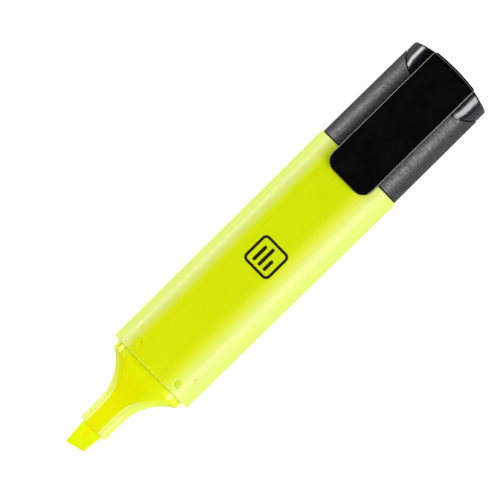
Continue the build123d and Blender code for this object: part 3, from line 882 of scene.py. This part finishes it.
def barrel_plastic():
    """Satin translucent yellow: deep colour over the ink reservoir, paler down the sides, partly where
    light passes the walls and partly painted sheen, and painted light at the shoulder.
    """
    made, bench, shader = begin(
        "barrel_plastic", Subsurface_Scale=0.002, Specular_IOR_Level=0.3, **TRANSLUCENT)
    place = bench.place()
    x, y = bench.parts(place)[:2]
    skin = bench.use(MOULDED_SKIN, {"Place": place, "Grain": 2.6, "Grain share": 0.35})
    wear = bench.use(HANDLING_WEAR, {"Place": place, "Amount": 0.5})
    deep = bench.mix(bench.between(x, *DEEPENING), DEEP_FRONT, DEEP_REAR)
    # painted sheen: the right half is lightened towards its side
    deep = bench.mix(bench.between(y, *RIGHT_SHEEN_BAND), deep, RIGHT_SHEEN)
    # pale side bands: partly the bare wall, partly painted sheen, wider on the right
    pale = bench.calc("MAXIMUM", bench.between(y, *LEFT_WALL_AND_SHEEN), bench.between(y, *RIGHT_WALL_AND_SHEEN))
    drift = bench.calc("MULTIPLY_ADD", skin["Patch"], 0.14, 0.86)
    pale = bench.calc("MULTIPLY", pale, drift)
    rim = bench.between(bench.calc("ABSOLUTE", y), *WALL_RIM)
    colour = bench.mix(pale, deep, bench.mix(rim, WALL_AND_SHEEN_PALE, RIM_PALE))
    glow(bench, shader, shoulder_painted_light(bench, x, y, colour))
    worn_roughness(bench, shader, 0.34, 0.5, wear["Scuffs"], skin["Patch"])
    relief(bench, shader, skin["Height"], 0.012)
    return made


def inside_edge(bench, x, y):
    """Distance in from the outline of the nozzle and neck. The right side's bands stand further out."""
    flare = bench.put("FloatCurve")
    curve = flare.mapping.curves[0]
    run = COLLAR_START - NOZZLE_MOUTH
    stations = (NOZZLE_MOUTH, FLARE_START, 15.0, 17.0, 19.0, 21.0, 22.75, COLLAR_START)
    spots = []
    for station in stations:
        half = NOZZLE[0] / 2 if station <= FLARE_START else flare_section(station)[0] / 2
        spots.append(((station - NOZZLE_MOUTH) / run, half / COLLAR[0]))
    curve.points[0].location = spots[0]
    for spot in spots[1:-1]:
        curve.points.new(*spot)
    curve.points[-1].location = spots[-1]
    flare.mapping.update()
    share = bench.put("MapRange", {0: x, 1: TIP_X + NOZZLE_MOUTH, 2: TIP_X + COLLAR_START}).outputs[0]
    bench.feed(flare.inputs["Value"], share)
    half = bench.calc("MULTIPLY", flare.outputs[0], COLLAR[0])
    inward = bench.calc("SUBTRACT", half, bench.calc("ABSOLUTE", y))
    return bench.calc("SUBTRACT", inward, bench.between(y, 0.5, -0.5, 0.0, 0.7))


def front_plastic():
    """The same yellow with a glossier skin, paler along the sides of the nozzle and neck, partly thin wall
    and partly painted sheen, with a painted highlight line inside each edge.
    """
    made, bench, shader = begin("front_plastic", Subsurface_Scale=0.0015, **TRANSLUCENT)
    place = bench.place()
    x, y = bench.parts(place)[:2]
    skin = bench.use(MOULDED_SKIN, {"Place": place, "Grain": 3.5, "Grain share": 0.2})
    wear = bench.use(HANDLING_WEAR, {"Place": place, "Amount": 0.4})
    inward = inside_edge(bench, x, y)
    on_neck = bench.between(x, TIP_X + 17.0, TIP_X + 22.5, 1.0, 0.25)
    behind = bench.between(x, TIP_X + BARREL_START, TIP_X + BARREL_START + 1)
    pale = bench.calc("MULTIPLY", bench.between(inward, 1.5, 1.15), on_neck)
    pale = bench.calc("MULTIPLY", pale, bench.calc("SUBTRACT", 1.0, behind))
    deep = bench.mix(bench.between(x, TIP_X + 14, TIP_X + 21), NOZZLE_DEEP, NECK_DEEP)
    deep = bench.mix(bench.between(x, TIP_X + 21, TIP_X + BARREL_START), deep, COLLAR_DEEP)
    # painted sheen: the right side is lightened
    deep = bench.mix(bench.between(y, -1.0, -7.0), deep, RIGHT_SIDE_SHEEN)
    # the right-hand pegs are painted lighter, with the sheen of that side
    pegs = bench.mix(bench.between(y, 3.0, -3.0), LEFT_PEG, RIGHT_PEG_SHEEN)
    colour = bench.mix(pale, bench.mix(behind, deep, pegs), NECK_PALE)
    # painted highlight line a little inside each edge of the nozzle and neck
    off_line = bench.calc("ABSOLUTE", bench.calc("SUBTRACT", inward, NECK_HIGHLIGHT_INSET))
    line_end = bench.between(x, TIP_X + 16.0, TIP_X + 20.0, 0.9, 0.0)
    line = bench.calc("MULTIPLY", bench.between(off_line, 0.3, 0.1), line_end)
    glow(bench, shader, bench.mix(line, colour, NECK_HIGHLIGHT))
    worn_roughness(bench, shader, 0.2, 0.4, wear["Scuffs"], skin["Patch"])
    relief(bench, shader, skin["Height"], 0.006)
    return made


def nib_felt():
    """Pressed felt, soaked through, more orange down the middle behind the tip, with painted light on the
    bevels.
    """
    made, bench, shader = begin("nib_felt", Specular_IOR_Level=0.12)
    place = bench.place()
    x, y = bench.parts(place)[:2]
    fibre = bench.use(FIBRE, {"Place": place, "Coarseness": 2.2})
    off_middle = bench.calc("ABSOLUTE", bench.calc("SUBTRACT", y, 0.2))
    rearward = bench.between(x, TIP_X + 2.0, TIP_X + 5.5)
    warm = bench.calc("MULTIPLY", bench.between(off_middle, 1.2, 0.1), rearward)
    warm = bench.calc("MULTIPLY", warm, 0.9)
    base = bench.mix(fibre["Streak"], srgb(226, 243, 3), srgb(234, 250, 8))
    # painted light: the bevelled faces behind the tip are lightened against their shade
    bevel_painted_light = bench.between(x, TIP_X + 3.8, TIP_X + 3.0)
    base = bench.mix(bevel_painted_light, base, srgb(236, 253, 6))
    glow(bench, shader, bench.mix(warm, base, srgb(246, 228, 0)))
    bench.feed(shader.inputs["Roughness"], bench.calc("MULTIPLY_ADD", fibre["Streak"], 0.15, 0.72))
    relief(bench, shader, fibre["Height"], 0.05)
    return made


def reservoir_fibre():
    """Bonded polyester fibre, full of ink."""
    made, bench, shader = begin("reservoir_fibre")
    place = bench.place()
    fibre = bench.use(FIBRE, {"Place": place, "Coarseness": 1.4})
    colour = bench.mix(fibre["Streak"], srgb(214, 226, 0), srgb(233, 241, 20))
    bench.feed(shader.inputs["Base Color"], colour)
    bench.feed(shader.inputs["Roughness"], bench.calc("MULTIPLY_ADD", fibre["Streak"], 0.1, 0.8))
    relief(bench, shader, fibre["Height"], 0.06)
    return made


def reservoir_wrap():
    """Thin clear film, crinkled over the fibre and tinted by it."""
    made, bench, shader = begin("reservoir_wrap")
    place = bench.place()
    skin = bench.use(MOULDED_SKIN, {"Place": place, "Grain": 0.8, "Grain share": 0.7})
    colour = bench.mix(skin["Patch"], srgb(228, 234, 60), srgb(238, 242, 96))
    bench.feed(shader.inputs["Base Color"], colour)
    bench.feed(shader.inputs["Roughness"], bench.calc("MULTIPLY_ADD", skin["Patch"], 0.1, 0.15))
    relief(bench, shader, skin["Height"], 0.05)
    return made


def seal_plastic():
    """Soft off-white plastic, stained a little with ink."""
    made, bench, shader = begin("seal_plastic")
    place = bench.place()
    skin = bench.use(MOULDED_SKIN, {"Place": place, "Grain": 2.0, "Grain share": 0.4})
    wear = bench.use(HANDLING_WEAR, {"Place": place, "Amount": 0.4})
    colour = bench.mix(skin["Patch"], srgb(214, 212, 203), srgb(226, 224, 216))
    bench.feed(shader.inputs["Base Color"], bench.mix(wear["Scuffs"], colour, srgb(206, 208, 120)))
    worn_roughness(bench, shader, 0.4, 0.6, wear["Scuffs"], skin["Patch"])
    relief(bench, shader, skin["Height"], 0.015)
    return made


def cap_matte():
    """Charcoal with an even spark-eroded texture, and painted shade at the cap's mouth: a near-black,
    duller band where the cap meets the barrel.
    """
    made, bench, shader = begin("cap_matte", Specular_IOR_Level=0.8)
    place = bench.place()
    fine = bench.stretch(place, (1.7, 0.8, 0.8))
    skin = bench.use(MOULDED_SKIN, {"Place": fine, "Grain": 2.6, "Grain share": 0.97})
    wear = bench.use(HANDLING_WEAR, {"Place": place, "Amount": 0.3})
    pits = bench.cloud(fine, 1.5, 1.5, 0.5)
    fleck = bench.between(pits, 0.36, 0.64)
    base = bench.mix(fleck, srgb(44, 44, 45), srgb(22, 22, 23))
    base = bench.mix(wear["Dust"], base, srgb(110, 110, 112))
    x = bench.parts(place)["X"]
    # painted shade: a near-black band at the cap's mouth, where it meets the barrel; it also roughens the
    # surface there
    lip_painted_light = bench.between(x, TIP_X + CAP_START + 0.5, TIP_X + CAP_START + 0.2)
    bench.feed(shader.inputs["Base Color"], bench.mix(lip_painted_light, base, srgb(8, 8, 5)))
    dull = bench.calc("MAXIMUM", fleck, bench.calc("MULTIPLY", lip_painted_light, 4.0))
    worn_roughness(bench, shader, 0.37, 0.49, dull, skin["Patch"])
    relief(bench, shader, bench.calc("MULTIPLY_ADD", skin["Height"], 0.25, pits), 0.05)
    return made


def polished_black(name, base, haze, wear_amount, coat):
    """Polished black moulding with fine marks that only show where it shines."""
    made, bench, shader = begin(name, Specular_IOR_Level=0.7, Coat_Weight=coat, Coat_Roughness=0.04)
    place = bench.place()
    skin = bench.use(MOULDED_SKIN, {"Place": place, "Grain": 1.6, "Grain share": 0.25})
    wear = bench.use(HANDLING_WEAR, {"Place": place, "Amount": wear_amount})
    colour = bench.mix(skin["Patch"], base, tuple(v * 1.5 for v in base[:3]) + (1.0,))
    bench.feed(shader.inputs["Base Color"], bench.mix(wear["Dust"], colour, srgb(60, 60, 62)))
    worn_roughness(bench, shader, haze, haze + 0.2, wear["Scuffs"], skin["Patch"])
    relief(bench, shader, skin["Height"], 0.006)
    return made


def printing_ink():
    """Pad-printed black ink, thin enough to be slightly uneven."""
    made, bench, shader = begin("printing_ink")
    place = bench.place()
    skin = bench.use(MOULDED_SKIN, {"Place": place, "Grain": 5.0, "Grain share": 0.6})
    bench.feed(shader.inputs["Base Color"], bench.mix(skin["Patch"], srgb(14, 15, 8), srgb(24, 25, 12)))
    bench.feed(shader.inputs["Roughness"], bench.calc("MULTIPLY_ADD", skin["Patch"], 0.1, 0.4))
    relief(bench, shader, skin["Height"], 0.006)
    return made


def paint(obj, made):
    obj.data.materials.clear()
    obj.data.materials.append(made)


front_finish = front_plastic()
paint(make_barrel(), barrel_plastic())
paint(make_front_moulding(), front_finish)
paint(make_nib(), nib_felt())
paint(make_cap_skin(), cap_matte())
paint(make_cap_end(), polished_black("cap_gloss", srgb(14, 14, 19), 0.15, 0.4, 0.15))
paint(make_clip(), polished_black("clip_gloss", srgb(9, 9, 9), 0.12, 0.25, 0.2))
paint(make_mark(), printing_ink())
paint(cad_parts["rear_plug"], front_finish)
paint(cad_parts["reservoir_core"], reservoir_fibre())
paint(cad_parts["reservoir_film"], reservoir_wrap())
paint(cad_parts["cap_inner_seal"], seal_plastic())


# ---------------------------------------------------------------- floor, light and camera

FLOOR_RADIUS = 3.0
FLOOR_DROP = 0.00005  # keeps the floor just clear of the barrel's underside


def make_floor():
    """Plain white table top."""
    angles = [2 * math.pi * k / 96 for k in range(96)]
    points = [(FLOOR_RADIUS * math.cos(a), FLOOR_RADIUS * math.sin(a), -FLOOR_DROP) for a in angles]
    floor = make_object("floor", points, [tuple(range(96))])
    made, bench, shader = begin("table_top", Roughness=0.9, Specular_IOR_Level=0.1, Emission_Strength=0.85)
    shade = bench.cloud(bench.put("TexCoord").outputs["Object"], 3.0)
    bench.feed(shader.inputs["Base Color"], bench.mix(shade, (0.6, 0.6, 0.6, 1), (0.62, 0.62, 0.62, 1)))
    seen = bench.put("LightPath").outputs["Is Camera Ray"]
    bench.feed(shader.inputs["Emission Color"], bench.mix(seen, (0, 0, 0, 1), (1, 1, 1, 1)))
    paint(floor, made)


def make_world():
    """White surround. Overhead is dark for reflections, so that flat black parts stay black."""
    world = bpy.data.worlds.new("studio")
    world.use_nodes = True
    world.node_tree.nodes.clear()
    bench = Bench(world.node_tree)
    up = bench.parts(bench.put("TexCoord").outputs["Generated"])[2]
    horizon = bench.between(up, 0.1, 0.6, 0.15, 0.0)
    seen = bench.put("LightPath").outputs["Is Camera Ray"]
    unseen = bench.calc("SUBTRACT", 1.0, seen)
    strength = bench.calc("ADD", bench.calc("MULTIPLY", horizon, unseen), seen)
    background = bench.put("Background", {"Color": (1, 1, 1, 1), "Strength": strength})
    output = bench.put("OutputWorld")
    world.node_tree.links.new(background.outputs[0], output.inputs[0])
    bpy.context.scene.world = world


def softbox(name, bearing, elevation, distance, length, height, radiance, mirrored=True):
    """Rectangular softbox aimed at the pen, from a bearing and an elevation in degrees.

    One that isn't mirrored only fills the shadows, and doesn't show in glossy surfaces.
    """
    lamp = bpy.data.lights.new(name, "AREA")
    lamp.shape = "RECTANGLE"
    lamp.size = length
    lamp.size_y = height
    lamp.energy = radiance * math.pi * length * height
    obj = bpy.data.objects.new(name, lamp)
    turn, lift = math.radians(bearing), math.radians(elevation)
    aim = Vector((math.cos(lift) * math.cos(turn), math.cos(lift) * math.sin(turn), math.sin(lift)))
    obj.matrix_world = Matrix.Translation(aim * distance) @ aim.to_track_quat("Z", "Y").to_matrix().to_4x4()
    obj.visible_camera = False
    obj.visible_glossy = mirrored
    bpy.context.scene.collection.objects.link(obj)


CAMERA_AIM = Vector((-0.00094, 0.0041, 0.0078))
CAMERA_DISTANCE = 3.2
CAMERA_TURN = -44.496  # degrees
CAMERA_LEAN = 1.45  # degrees
CAMERA_LENS = 968.96


def make_camera():
    """Nearly straight above, with the pen running from lower left to upper right."""
    data = bpy.data.cameras.new("camera")
    data.lens = CAMERA_LENS
    data.sensor_width = 36.0
    data.clip_start = 0.01
    data.clip_end = 20.0
    obj = bpy.data.objects.new("camera", data)
    lean = Matrix.Rotation(math.radians(CAMERA_LEAN), 4, "X")
    turn = Matrix.Rotation(math.radians(CAMERA_TURN), 4, "Z")
    away = lean @ Vector((0, 0, CAMERA_DISTANCE))
    obj.matrix_world = Matrix.Translation(CAMERA_AIM + away) @ lean @ turn
    bpy.context.scene.collection.objects.link(obj)
    bpy.context.scene.camera = obj


make_floor()
make_world()
# name, bearing and elevation, then distance, length and height, then radiance
softbox("softbox_left", 90, 9, 0.65, 0.42, 0.19, 9.6)
softbox("softbox_right", -90, 36.5, 0.65, 0.42, 0.28, 9.2)
softbox("softbox_front", 180, 14, 0.9, 0.5, 0.2, 2.0)
softbox("softbox_back", 0, 14, 0.9, 0.5, 0.2, 2.0)
softbox("fill_left", 90, 45, 0.9, 0.6, 0.4, 3.4, mirrored=False)
softbox("fill_above", -90, 62, 1.0, 0.6, 0.5, 1.9, mirrored=False)
make_camera()
bpy.context.scene.view_settings.view_transform = "Standard"
